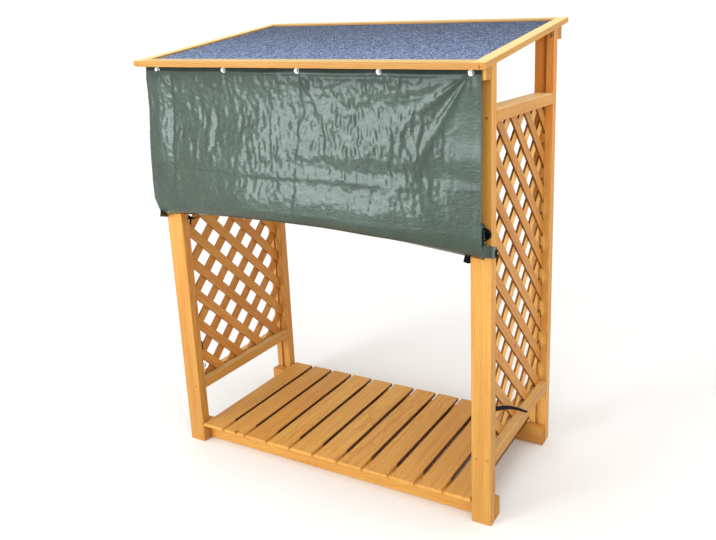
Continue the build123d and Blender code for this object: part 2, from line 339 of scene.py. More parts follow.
def makeGrainGroup(w):
    # growth rings: distance from a pith that lies outside the board, bent by slow noise along the grain,
    # cut into rings by fraction; plus long fibres, a few round knots and a tint for each board
    tree, i, o = newGroup("woodGrain", [
        ("Place", "Vector", (0, 0, 0)), ("Board", "Vector", (0, 0, 0)), ("EndFace", "Float", 0.0),
        ("Pale", "Color", w["pale"]), ("Dark", "Color", w["dark"]), ("Contrast", "Float", 1.0),
        ("Bleached", "Float", 0.0),
    ], [("Color", "Color"), ("Roughness", "Float"), ("Height", "Float")])
    chance = add(tree, "TexWhiteNoise", {"Vector": i["Board"]}, noise_dimensions="3D").outputs["Color"]
    parts = split(tree, chance)
    away = stretch(tree, chance, (9.0, 7.0, 5.0))
    here = vector(tree, "ADD", i["Place"], away)
    slow = add(tree, "TexNoise", {"Vector": stretch(tree, here, (1.5, 7.0, 7.0)), "Scale": 1.0,
                                  "Detail": 2.0}).outputs["Color"]
    bend = stretch(tree, vector(tree, "SUBTRACT", slow, (0.5, 0.5, 0.5)), (0, 0.034, 0.034))
    pithY = timesPlus(tree, parts["X"], 0.24, -0.12)
    pithZ = timesPlus(tree, parts["Y"], 0.16, 0.095)
    pith = add(tree, "CombineXYZ", {"X": 0.0, "Y": pithY, "Z": pithZ}).outputs[0]
    bare = stretch(tree, i["Place"], (0.0, 1.0, 1.0))
    fromPith = vector(tree, "LENGTH", vector(tree, "ADD", vector(tree, "ADD", bare, bend), pith))
    knotSpot = add(tree, "TexVoronoi", {"Vector": stretch(tree, here, (0.55, 1.0, 1.0)),
                                        "Scale": 1 / w["knotCell"], "Randomness": 1.0}).outputs
    knotAway = times(tree, knotSpot["Distance"], w["knotCell"])
    knotChance = split(tree, knotSpot["Color"])["X"]
    isKnot = calc(tree, "LESS_THAN", knotChance, w["knotShare"])
    swirl = times(tree, isKnot, spread(tree, knotAway, 0.006, 0.030, 1.3, 0.0))
    ringAt = calc(tree, "ADD", calc(tree, "DIVIDE", fromPith, w["ringSpacing"]), swirl)
    waver = noise(tree, stretch(tree, here, (0.3, 1.0, 1.0)), 60.0, 2)
    turn = calc(tree, "FRACT", timesPlus(tree, waver, 1.5, ringAt))
    late = minus(tree, spread(tree, turn, 0.25, 0.88), spread(tree, turn, 0.90, 1.0))
    fibre = noise(tree, stretch(tree, here, (14.0, 620.0, 620.0)), 1.0, 3, 0.6)
    streak = noise(tree, stretch(tree, here, (3.0, 55.0, 55.0)), 1.0, 3, 0.55)
    shade = times(tree, late, times(tree, i["Contrast"], w["ringShade"]))
    shade = timesPlus(tree, spread(tree, streak, 0.3, 0.7), w["streakShade"], shade)
    shade = timesPlus(tree, spread(tree, fibre, 0.35, 0.75), w["fibreShade"], shade)
    shade = timesPlus(tree, parts["Z"], w["boardShade"], shade)
    colour = mix(tree, calc(tree, "MINIMUM", shade, 1.0), i["Pale"], i["Dark"])
    knotRim = times(tree, isKnot, spread(tree, knotAway, 0.0050, 0.0105, 1.0, 0.0))
    colour = mix(tree, times(tree, knotRim, w["knotShade"]), colour, w["knot"])
    warm = mix(tree, 1.0, colour, (0.80, 0.70, 0.60, 1), "MULTIPLY")
    colour = mix(tree, times(tree, i["EndFace"], 0.75), colour, warm)
    # faces turned upwards are painted paler: painted light on the tops
    colour = mix(tree, i["Bleached"], colour, w["bleached"])
    feed(tree, o["Color"], colour)
    rough = timesPlus(tree, fibre, 0.10, w["roughness"] - 0.05)
    feed(tree, o["Roughness"], timesPlus(tree, i["EndFace"], 0.2, rough))
    height = timesPlus(tree, late, -0.35, times(tree, fibre, 0.65))
    feed(tree, o["Height"], timesPlus(tree, knotRim, -0.3, height))
    return tree


woodGrain = makeGrainGroup(wood)


def finishWood(tree, shader, place, board, endFace, upward, tint, shade):
    # the share of painted top light for this member
    bleach = times(tree, upward, tint.get("bleach", 0.0))
    grain = useGroup(tree, woodGrain, Place=place, Board=board, EndFace=endFace, Bleached=bleach,
                     Pale=tint.get("pale", wood["pale"]), Dark=tint.get("dark", wood["dark"]),
                     Contrast=tint.get("contrast", 1.0))
    paint(tree, shader, mix(tree, 1.0, grain["Color"], shade, "MULTIPLY"), grain["Roughness"])
    shader.inputs["Specular IOR Level"].default_value = wood["specular"]
    bumpUp(tree, shader, grain["Height"], wood["bump"], 0.0015)


def woodMaterial(name, along, cells, shift, slope=0.0, **tint):
    # along is the grain's axis; floor(place * cells + shift) tells boards apart; slope levels a roof board
    material, tree, shader = newMaterial(name)
    coord = add(tree, "TexCoord").outputs
    xyz = dict(split(tree, coord["Object"]).items())
    if slope:
        xyz["Z"] = timesPlus(tree, xyz["Y"], -slope, xyz["Z"])
    order = {"X": "XYZ", "Y": "YXZ", "Z": "ZXY"}[along]
    place = add(tree, "CombineXYZ", {k: xyz[v] for k, v in zip("XYZ", order)}).outputs[0]
    board = vector(tree, "FLOOR", vector(tree, "MULTIPLY_ADD", coord["Object"], cells, shift))
    axis = tuple(float(along == k) for k in "XYZ")
    facing = calc(tree, "ABSOLUTE", vector(tree, "DOT_PRODUCT", coord["Normal"], axis))
    facesTo = split(tree, coord["Normal"])
    upward = spread(tree, facesTo["Z"], 0.5, 0.9)
    # tone paints the whole member lighter or darker than the same wood elsewhere: painted light and shade
    shade = tint.get("tone", (1, 1, 1, 1))
    # the member is painted lighter or darker by height: painted light and shade
    if "weather" in tint:
        low, high, below, above = tint["weather"]
        shade = mix(tree, spread(tree, xyz["Z"], low, high), below, above)
    if "sides" in tint:  # the narrow faces between boards are painted dark behind the front joist: painted shade in the gaps
        gapShade, behind = tint["sides"]
        beyond = spread(tree, xyz["Y"], behind - 0.004, behind + 0.004)
        sideways = times(tree, calc(tree, "ABSOLUTE", facesTo["X"]), beyond)
        shade = mix(tree, spread(tree, sideways, 0.5, 0.9), shade, gapShade)
    if "joint" in tint:
        way, cut, dark = tint["joint"]
        beside = apart(tree, calc(tree, "ABSOLUTE", xyz[way]), cut)
        shade = mix(tree, spread(tree, beside, 0.0006, 0.0022, dark, 0.0), shade, wood["jointTint"])
    if "groove" in tint:
        # the groove, not in the mesh, is painted as a dark stripe on the post above its foot: painted shade
        # of the recess
        middle, half, foot = tint["groove"]
        beside = apart(tree, calc(tree, "ABSOLUTE", xyz["X"]), middle)
        within = times(tree, spread(tree, beside, half - 0.001, half + 0.001, 0.75, 0.0),
                      calc(tree, "GREATER_THAN", xyz["Z"], foot))
        shade = mix(tree, within, shade, wood["grooveShade"])
    endFace = spread(tree, facing, 0.75, 0.9, 0.0, tint.get("ends", 1.0))
    finishWood(tree, shader, place, board, endFace, upward, tint, shade)
    return material


def trellisMaterial(name, middle, phase, near, farLayerLight, edge):
    # bars lean 45 degrees, opposite ways in the two layers; the layer is the side of the panel's mid-plane
    material, tree, shader = newMaterial(name)
    coord = add(tree, "TexCoord").outputs
    xyz = split(tree, coord["Object"])
    outward = split(tree, coord["Normal"])["X"]
    beneath = timesPlus(tree, outward, -0.002, xyz["X"])  # just under the face, in its layer
    layer = calc(tree, "SIGN", minus(tree, beneath, middle))
    leaning = times(tree, layer, xyz["Y"])
    across = calc(tree, "ADD", xyz["Z"], leaning)
    along = minus(tree, xyz["Z"], leaning)
    place = add(tree, "CombineXYZ", {"X": times(tree, along, 0.7071), "Z": xyz["X"],
                                     "Y": times(tree, across, 0.7071)}).outputs[0]
    start = timesPlus(tree, layer, phase[1], phase[0])
    bar = calc(tree, "FLOOR", calc(tree, "DIVIDE", minus(tree, across, start), trellis["pitch"]))
    board = add(tree, "CombineXYZ", {"X": bar, "Y": layer, "Z": middle * 10}).outputs[0]
    # painted light and shade: the narrow faces are painted darker, and the far layer of the right panel paler
    narrow = spread(tree, calc(tree, "ABSOLUTE", outward), 0.3, 0.7, 1.0, 0.0)
    outer = timesPlus(tree, layer, 0.5, 0.5)
    shade = mix(tree, narrow, mix(tree, outer, farLayerLight, near), edge)
    tones = {"pale": wood["trellisPale"], "dark": wood["trellisDark"]}
    finishWood(tree, shader, place, board, 0.0, 0.0, tones, shade)
    return material


trellis = {"pitch": 0.128, "middle": 0.620, "leftPhase": (0.348, -0.191), "rightPhase": (0.374, -0.207)}
roofSlope = 0.153

# below, the tints by height on the posts, the tones of whole members, the paler tops, the dark narrow slat
# faces, the dark groove stripe and the trellis tints are painted light and shade
woodOf = {
    "frontPost": woodMaterial("frontPostWood", "Z", (1, 1, 0), (4, 9, 2),
                              weather=(0.15, 1.15, (0.84, 0.82, 0.80, 1), (1.10, 1.08, 1.06, 1))),
    "rearPost": woodMaterial("rearPostWood", "Z", (1, 1, 0), (4, 9, 2),
                             weather=(0.90, 1.35, (1.0, 0.98, 1.04, 1), (1.14, 0.93, 0.87, 1)),
                             groove=(0.6215, 0.0055, 1.37)),
    "lowerRail": woodMaterial("lowerRailWood", "Y", (1, 0, 1), (7, 1, 7), bleach=0.45,
                              tone=(0.88, 0.87, 0.88, 1)),
    "upperRail": woodMaterial("upperRailWood", "Y", (1, 0, 1), (7, 1, 7), bleach=0.8,
                              tone=(1.12, 1.16, 1.22, 1), joint=("Y", 0.052, 0.35)),
    "frontJoist": woodMaterial("frontJoistWood", "X", (0, 1, 0), (2, 9, 4)),
    "rearJoist": woodMaterial("rearJoistWood", "X", (0, 1, 0), (2, 9, 4), tone=(0.88, 0.80, 0.75, 1)),
    "beam": woodMaterial("beamWood", "X", (0, 1, 0), (5, 2, 8)),
    "slat": woodMaterial("slatWood", "Y", (1 / 0.1067, 0, 0), (5.4997, 6, 2), ends=0.0,
                         sides=((0.22, 0.15, 0.12, 1), -0.247)),
    "sideTrim": woodMaterial("sideTrimWood", "Y", (1, 0, 0), (8, 4, 5), roofSlope, bleach=0.95),
    "endTrim": woodMaterial("endTrimWood", "X", (0, 1, 0), (1, 6, 6), bleach=0.75, joint=("X", 0.6445, 0.8),
                            tone=(0.82, 0.83, 0.84, 1)),
    "deck": woodMaterial("deckWood", "X", (0, 1 / 0.09, 0), (6, 0.5, 3), roofSlope, contrast=1.2),
    "leftTrellis": trellisMaterial("leftTrellisWood", -trellis["middle"], trellis["leftPhase"],
                                   near=(1, 1, 1, 1), farLayerLight=(1, 1, 1, 1), edge=(0.60, 0.50, 0.42, 1)),
    "rightTrellis": trellisMaterial("rightTrellisWood", trellis["middle"], trellis["rightPhase"],
                                    near=(1, 1, 0.95, 1), farLayerLight=(1.42, 1.75, 2.50, 1),
                                    edge=(0.42, 0.33, 0.26, 1)),
}


def memberOf(name):
    if name.endswith("_trellis"):
        return name.split("_")[0] + "Trellis"
    if name.endswith("_roof_trim"):
        return "sideTrim" if name.startswith(("left", "right")) else "endTrim"
    if name.endswith("_post"):
        return name.split("_")[0] + "Post"
    if name.endswith("_rail"):
        return name.split("_")[1] + "Rail"
    if name.endswith("_floor_joist"):
        return name.split("_")[0] + "Joist"
    for word in ("beam", "slat", "deck"):
        if word in name:
            return word


for name, node in nodes.items():
    if memberOf(name):
        node.data.materials.clear()
        node.data.materials.append(woodOf[memberOf(name)])
print("wood: %d members dressed" % sum(bool(memberOf(n)) for n in nodes))

# front beam: its left end is cut back behind the edge of the cover
frontBeam = {
    "ends": (-0.6275, 0.655), "arris": 0.0012,
    "section": ((-0.367, 1.4574), (-0.323, 1.4574), (-0.323, 1.4964), (-0.367, 1.4897)),  # y, z
}


def makeFrontBeam(b):
    # the section carried straight along x from one end to the other, its arrises eased
    x, k = np.meshgrid(b["ends"], np.arange(4), indexing="ij")
    points = np.concatenate([x[..., None], np.array(b["section"])[k]], -1)
    faces = gridFaces(2, 4, closeCols=True).tolist() + [[3, 2, 1, 0], [4, 5, 6, 7]]
    piece = makePiece("front_beam", points, faces, woodOf["beam"], slot="frame_wood", smooth=False,
                      stands="front_top_beam")
    eased = piece.modifiers.new("arris", "BEVEL")
    eased.width, eased.segments = b["arris"], 2


makeFrontBeam(frontBeam)
print("front beam: cut back on the left")

# roof felt: mineral granules bedded in bitumen
felt = {
    "light": linear(168, 192, 232), "mid": linear(77, 93, 124), "dark": linear(22, 28, 42),
    "grain": 0.0018, "clump": 0.0040, "lowEdge": -0.391, "depth": 0.78,
    "grainShare": 0.40, "clumpShare": 0.56, "cloudShare": 0.22, "backShade": (0.28, -0.11),
}


def makeFelt(f):
    material, tree, shader = newMaterial("mineralFelt")
    place = add(tree, "TexCoord").outputs["Object"]
    grain = add(tree, "TexVoronoi", {"Vector": place, "Scale": 1 / f["grain"]}).outputs
    clump = add(tree, "TexVoronoi", {"Vector": place, "Scale": 1 / f["clump"]}).outputs
    one = split(tree, grain["Color"])
    many = split(tree, clump["Color"])
    cloud = noise(tree, place, 28.0, 3, 0.65)
    tone = times(tree, one["X"], f["grainShare"])
    tone = timesPlus(tree, many["X"], f["clumpShare"], tone)
    tone = timesPlus(tree, minus(tree, cloud, 0.5), f["cloudShare"], tone)
    # the felt is painted paler at the low front edge and darker up the slope towards the back: painted shade
    upSlope = calc(tree, "DIVIDE", minus(tree, split(tree, place)["Y"], f["lowEdge"]), f["depth"])
    tone = minus(tree, tone, timesPlus(tree, upSlope, *f["backShade"]))
    colour = mix(tree, spread(tree, tone, 0.12, 0.55), f["dark"], f["mid"])
    colour = mix(tree, spread(tree, tone, 0.50, 0.92), colour, f["light"])
    paint(tree, shader, colour, timesPlus(tree, one["Y"], 0.3, 0.62))
    gap = spread(tree, grain["Distance"], 0.25, 0.75, 1.0, 0.0)
    bumpUp(tree, shader, timesPlus(tree, many["Y"], 0.5, gap), 0.6, 0.0012)
    return material


nodes["roof_felt"].data.materials.clear()
nodes["roof_felt"].data.materials.append(makeFelt(felt))
print("roof: felt dressed")


# weave: shared by the cover, its bands and the straps
def makeWeaveGroup():
    tree, i, o = newGroup("tapeWeave", [("Place", "Vector", (0, 0, 0)), ("Tape", "Float", 0.0025)],
                          [("Height", "Float"), ("Mask", "Float")])
    xyz = split(tree, i["Place"])
    u, v = (calc(tree, "DIVIDE", xyz[k], i["Tape"]) for k in "XY")
    ridgeU = calc(tree, "ABSOLUTE", calc(tree, "SINE", times(tree, u, math.pi)))
    ridgeV = calc(tree, "ABSOLUTE", calc(tree, "SINE", times(tree, v, math.pi)))
    count = calc(tree, "ADD", calc(tree, "FLOOR", u), calc(tree, "FLOOR", v))
    over = calc(tree, "PINGPONG", count, 1.0)
    height = calc(tree, "ADD", times(tree, ridgeU, over),
                  times(tree, ridgeV, minus(tree, 1.0, over)))
    feed(tree, o["Height"], height)
    feed(tree, o["Mask"], over)
    return tree


tapeWeave = makeWeaveGroup()


def makeFoldGroup():
    # how near the place is to the line u = Start + Lean * v: 1 on the line, 0 from Width on; Dash breaks it
    tree, i, o = newGroup("foldLine", [
        ("Place", "Vector", (0, 0, 0)), ("Start", "Float", 0.0), ("Lean", "Float", 0.0),
        ("Width", "Float", 0.003), ("Dash", "Float", 0.0),
    ], [("Mask", "Float")])
    xyz = split(tree, i["Place"])
    line = timesPlus(tree, i["Lean"], xyz["Y"], i["Start"])
    shake = timesPlus(tree, noise(tree, i["Place"], 18.0, 3), 0.006, -0.003)
    shake = times(tree, shake, minus(tree, 1.0, i["Dash"]))
    off = apart(tree, calc(tree, "ADD", xyz["X"], shake), line)
    near = minus(tree, 1.0, calc(tree, "MINIMUM", calc(tree, "DIVIDE", off, i["Width"]), 1.0))
    stitch = calc(tree, "LESS_THAN", calc(tree, "FRACT", calc(tree, "DIVIDE", xyz["Y"], 0.008)), 0.62)
    patchyShade = spread(tree, noise(tree, i["Place"], 7.0, 2), 0.40, 0.56, 0.15, 1.0)
    broken = calc(tree, "ADD", times(tree, stitch, i["Dash"]),
                  times(tree, patchyShade, minus(tree, 1.0, i["Dash"])))
    feed(tree, o["Mask"], times(tree, near, broken))
    return tree


foldLine = makeFoldGroup()

# tarpaulin: a coated weave with packing folds, stitches and hems
tarp = {
    "deep": linear(31, 41, 29), "pale": linear(43, 55, 40),
    "thread": linear(56, 69, 52), "shadowAndStitch": linear(12, 16, 13), "sheen": (0.77, 0.95, 0.93, 1),
    "tape": 0.0036, "specular": 0.46, "coat": 0.29, "coatRoughness": 0.15,
    "edge": linear(74, 92, 82), "wide": 1.286, "hem": 0.0225, "roofShadow": 0.090,
    "weaveHeight": 0.9, "crumpleHeight": 7.0, "crinkleHeight": 15.0, "foldDepth": 2.0,
    # the undashed lines are creases painted dark, painted shade; the dashed ones are stitches
    "folds": (  # direction, start, lean, width, dashed or not, darkness; metres on the flat sheet
        ("down", 0.1193, 0.023, 0.0040, 0, 0.8), ("down", 0.665, 0.066, 0.0038, 0, 0.9),
        ("down", 1.165, -0.013, 0.0030, 1, 0.85), ("down", 0.568, 0.0, 0.0030, 1, 0.45),
        ("down", 1.264, 0.0, 0.0020, 1, 0.5), ("down", 0.022, 0.0, 0.0020, 1, 0.5),
        ("across", -0.0205, 0.0, 0.0022, 0, 0.7), ("across", -0.358, 0.012, 0.0032, 0, 0.7),
    ),
    "bandFolds": (("down", 0.014, 0.0, 0.0012, 1, 0.5), ("down", -0.014, 0.0, 0.0012, 1, 0.5)),
}


def tarpMaterial(name, folds, wide=0.0):
    material, tree, shader = newMaterial(name, IOR=1.5)
    shader.inputs["Specular Tint"].default_value = tarp["sheen"]
    shader.inputs["Specular IOR Level"].default_value = tarp["specular"]
    shader.inputs["Coat Weight"].default_value = tarp["coat"]
    shader.inputs["Coat Roughness"].default_value = tarp["coatRoughness"]
    flat = add(tree, "TexCoord").outputs["UV"]
    weave = useGroup(tree, tapeWeave, Place=flat, Tape=tarp["tape"])
    patch = spread(tree, noise(tree, flat, 7.0, 4, 0.6), 0.3, 0.7)
    colour = mix(tree, patch, tarp["deep"], tarp["pale"])
    colour = mix(tree, times(tree, weave["Mask"], 0.30), colour, tarp["thread"])
    xyz = split(tree, flat)
    turned = add(tree, "CombineXYZ", {"X": xyz["Y"], "Y": xyz["X"]}).outputs[0]
    shadedCreasesAndStitches = 0.0
    for place, start, lean, width, dash, dark in folds:
        mask = useGroup(tree, foldLine, Place={"down": flat, "across": turned}[place], Start=start, Lean=lean,
                        Width=width, Dash=dash)["Mask"]
        shadedCreasesAndStitches = calc(tree, "MAXIMUM", shadedCreasesAndStitches, times(tree, mask, dark))
    # creases painted dark as painted shade, and the stitches
    colour = mix(tree, shadedCreasesAndStitches, colour, tarp["shadowAndStitch"])
    rough = spread(tree, noise(tree, flat, 40.0, 3, 0.6), 0.25, 0.75, 0.26, 0.38)
    if wide:
        fromSide = calc(tree, "MINIMUM", xyz["X"], minus(tree, wide, xyz["X"]))
        colour = mix(tree, spread(tree, fromSide, 0.0005, 0.0030, 0.8, 0.0), colour, tarp["edge"])
        # the doubled top hem and the sheet below it, down to the roof shadow's reach, are painted dark and
        # dull: painted shadow of the roof's edge
        hem = spread(tree, xyz["Y"], -tarp["hem"], -0.4 * tarp["hem"])
        hem = calc(tree, "MAXIMUM", hem, spread(tree, xyz["Y"], -tarp["roofShadow"], -tarp["hem"], 0.0, 0.42))
        colour = mix(tree, times(tree, hem, 0.8), colour, tarp["shadowAndStitch"])
        feed(tree, shader.inputs["Coat Weight"], spread(tree, hem, 0.0, 1.0, tarp["coat"], 0.0))
        rough = timesPlus(tree, hem, 0.5, rough)
    paint(tree, shader, colour, rough)
    crumple = noise(tree, stretch(tree, flat, (0.5, 1.0, 1.0)), 125.0, 3, 0.55, 0.4)
    crinkle = noise(tree, stretch(tree, flat, (0.6, 1.0, 1.0)), 58.0, 3, 0.6, 0.6)
    crinkle = apart(tree, crinkle, 0.5)  # sharp along its valleys
    height = times(tree, weave["Height"], tarp["weaveHeight"])
    height = timesPlus(tree, crumple, tarp["crumpleHeight"], height)
    height = timesPlus(tree, crinkle, tarp["crinkleHeight"], height)
    height = timesPlus(tree, shadedCreasesAndStitches, -tarp["foldDepth"], height)
    bumpUp(tree, shader, height, 0.5, 0.0004)
    return material


tarpSheet = tarpMaterial("greenTarpaulin", tarp["folds"], tarp["wide"])
tarpBand = tarpMaterial("greenTarpaulinBand", tarp["bandFolds"])

# webbing: black tape for the straps, ties and loops
webbing = {"deep": linear(5, 5, 6), "pale": linear(12, 12, 13), "tape": 0.0016, "specular": 0.12}


def makeWebbing(w):
    material, tree, shader = newMaterial("blackWebbing", IOR=1.45)
    place = add(tree, "TexCoord").outputs["UV"]
    weave = useGroup(tree, tapeWeave, Place=place, Tape=w["tape"])
    paint(tree, shader, mix(tree, weave["Mask"], w["deep"], w["pale"]),
          timesPlus(tree, weave["Height"], 0.15, 0.7))
    shader.inputs["Specular IOR Level"].default_value = w["specular"]
    bumpUp(tree, shader, weave["Height"], 0.5, 0.0005)
    return material


blackWebbing = makeWebbing(webbing)

# rain cover: one sheet, hung on the knobs, its lower part rolled up behind it
cover = {
    "top": 1.4882, "hangEnd": 1.018, "front": -0.3690,
    "columns": 300, "hangRows": 120, "turns": 4.7, "turnRows": 8,
    "leftEdge": ((0.95, -0.657), (1.004, -0.658), (1.083, -0.660), (1.300, -0.642), (1.488, -0.628)),  # z, x
    "rightEdge": ((0.95, 0.640), (1.20, 0.641), (1.488, 0.644)),
    "rollMiddle": -0.3475, "rollHalf": (0.0215, 0.044), "layer": 0.0021, "roundness": 2.6,
    "bottom": (0.970, -0.0160, -0.080),  # of the lowest edge: height, slope and curve over x
    "looseEnds": (0.021, 0.029),  # how far the outer turn hangs below the rest of the roll, left and right
    "knobX": (-0.575, -0.2785, 0.018, 0.3145, 0.611), "knobZ": 1.4782,
    # packing folds: x at the top, x at the roll, height of the step; then the one that runs across
    "creases": ((-0.510, -0.548, 0.0009), (0.030, -0.018, 0.0009), (0.524, 0.524, 0.0003)),
    "crossCrease": 1.134, "hem": 0.0205, "sideHem": 0.020,
    "tilts": (  # how the sheet leans back, in degrees, around (z, x) and over what half-height and half-width
        (1.275, 0.000, 0.075, 0.50, 6.8), (1.203, 0.28, 0.026, 0.30, -5.0), (1.160, 0.14, 0.022, 0.50, 7.0),
        (1.088, 0.06, 0.036, 0.48, 8.0), (1.425, 0.05, 0.045, 0.66, -4.5), (1.33, -0.555, 0.12, 0.05, 1.2),
        (1.370, -0.400, 0.050, 0.20, -4.5), (1.255, -0.340, 0.070, 0.17, 4.0),
        (1.305, 0.570, 0.045, 0.11, -3.4), (1.085, 0.560, 0.050, 0.14, 4.2),
    ),
    "ridge": {"x": -0.578, "high": 0.0030, "right": 0.062, "left": 0.050},  # beside the left packing fold
    # folds fanning from the knobs: direction, height, narrowness and fade, least and most; then the corner's
    "fans": ((-1.2, 0.0006, 0.06, 0.06), (1.2, 0.002, 0.14, 0.16)),
    "cornerFolds": ((-0.98, 0.0075, 0.11, 0.30), (-0.62, 0.0055, 0.08, 0.34), (-1.3, 0.003, 0.12, 0.2)),
    # heights of the noise: soft swells, leaves on the left, dents on the right, dents and fine ones all over
    "swell": 0.0012, "leaf": 0.0009, "dent": 0.00052, "smallDent": 0.00030, "fineDent": 0.00024,
    "scallop": 0.00055, "scallopPitch": 0.030, "scallopRows": (1.410, 1.362, 1.300, 1.250, 1.205),
    "crossStep": 0.0013, "stepReach": 0.005, "hemRise": 0.0008, "swag": 0.003, "seed": 11, "thick": 0.0006,
}


def softNoise(rng, shape, spacing, sizeX, sizeZ):
    # white noise blurred by a Gaussian of those sizes in metres, through the Fourier plane; unit spread
    fz, fx = np.fft.fftfreq(shape[0], spacing[0])[:, None], np.fft.rfftfreq(shape[1], spacing[1])[None]
    keep = np.exp(-2 * np.pi ** 2 * ((fx * sizeX) ** 2 + (fz * sizeZ) ** 2))
    field = np.fft.irfft2(np.fft.rfft2(rng.standard_normal(shape)) * keep, shape)
    return field / field.std()


def coverFolds(c, x, z):
    # how far the hanging part stands forward: its lean summed from the top down, folds fanning from the
    # knobs, sharp creases where the sheet was packed, and upright dents hammered into it by noise
    rng = np.random.default_rng(c["seed"])
    spacing = (abs(z[1, 0] - z[0, 0]), abs(x[0, 1] - x[0, 0]))
    lean = np.zeros_like(x)
    for zMid, xMid, high, wide, degrees in c["tilts"]:
        lean += math.radians(degrees) * np.exp(-((z - zMid) / high) ** 2 - ((x - xMid) / wide) ** 4)
    bulge = np.cumsum(lean * spacing[0], axis=0)
    bulge += c["swell"] * softNoise(rng, x.shape, spacing, 0.09, 0.045)
    r = c["ridge"]
    slant = x - r["x"] + 0.08 * (c["top"] - z)
    tent = np.clip(1 - np.where(slant > 0, slant / r["right"], -slant / r["left"]), 0, 1)
    beyond = np.where(slant > r["right"], np.exp((r["right"] - slant) / 0.03),
                      step(0.6, 1, slant / r["right"]))
    bulge += (r["high"] * tent - 0.0022 * beyond * (slant > 0)) * step(1.08, 1.20, z)
    leaves = softNoise(rng, x.shape, spacing, 0.0075, 0.020)
    dents = softNoise(rng, x.shape, spacing, 0.0048, 0.012)
    fine = softNoise(rng, x.shape, spacing, 0.0045, 0.0045)
    where = step(-0.9, 0.5, softNoise(rng, x.shape, spacing, 0.05, 0.04))
    onLeft = step(-0.08, -0.22, x)
    hammered = step(-0.50, -0.43, x) * step(0.54, 0.38, x) * step(1.135, 1.20, z) * step(1.478, 1.44, z)
    lower = 0.45 + 0.55 * step(1.43, 1.33, z)
    bulge += hammered * where * (c["leaf"] * onLeft * lower * leaves + c["dent"] * (1 - onLeft) * dents)
    bulge += step(1.02, 1.07, z) * step(0.60, 0.47, x) * (c["smallDent"] * dents + c["fineDent"] * fine)
    wave = 2 * np.pi * x / c["scallopPitch"]
    scallops = sum(np.exp(-((z - at) / 0.011) ** 2) * np.sin(wave + 2.0 * k)
                   for k, at in enumerate(c["scallopRows"]))
    bulge += c["scallop"] * scallops * step(-0.03, 0.08, x) * step(0.50, 0.40, x)
    for knobX in c["knobX"]:
        dx, drop = x - knobX, c["knobZ"] - z
        reach, way = np.hypot(dx, drop), np.arctan2(dx, drop)
        for toward, size, narrow, fade in rng.uniform(*c["fans"], (5, 4)):
            bulge += size * np.exp(-((way - toward) / narrow) ** 2 - reach / fade) * step(0.005, 0.04, reach)
    for toward, size, narrow, fade in c["cornerFolds"]:  # from the last knob down to the left
        bulge += size * np.exp(-((way - toward) / narrow) ** 2 - reach / fade) * step(0.01, 0.09, reach)
    for k, (above, below, high) in enumerate(c["creases"]):
        line = above + (below - above) * (c["top"] - z) / (c["top"] - 1.02) + 0.0012 * np.sin(40 * z + k)
        bulge += high * np.tanh((x - line) / c["stepReach"]) * np.exp(-np.abs(x - line) / 0.05)
    level = c["crossCrease"] + 0.036 * x ** 2 + 0.0025 * np.sin(9 * x)
    sharp = 0.55 + 0.45 * np.sin(7 * x + 1.2)
    across = np.tanh((z - level) / c["stepReach"]) * np.exp(-np.abs(z - level) / 0.06)
    bulge += c["crossStep"] * across * sharp
    calm = step(c["top"], c["top"] - 0.045, z)
    hemmed = step(c["top"] - c["hem"] - 0.002, c["top"] - c["hem"] + 0.001, z)
    sides = np.maximum(step(x[:, :1] + c["sideHem"] + 0.003, x[:, :1] + c["sideHem"], x),
                       step(x[:, -1:] - c["sideHem"] - 0.003, x[:, -1:] - c["sideHem"], x))
    backMost = -0.0006 - 0.03 * step(1.46, 1.40, z)  # the beam behind the top stops the sheet
    return np.maximum(bulge * calm, backMost) + c["hemRise"] * np.maximum(hemmed, sides)


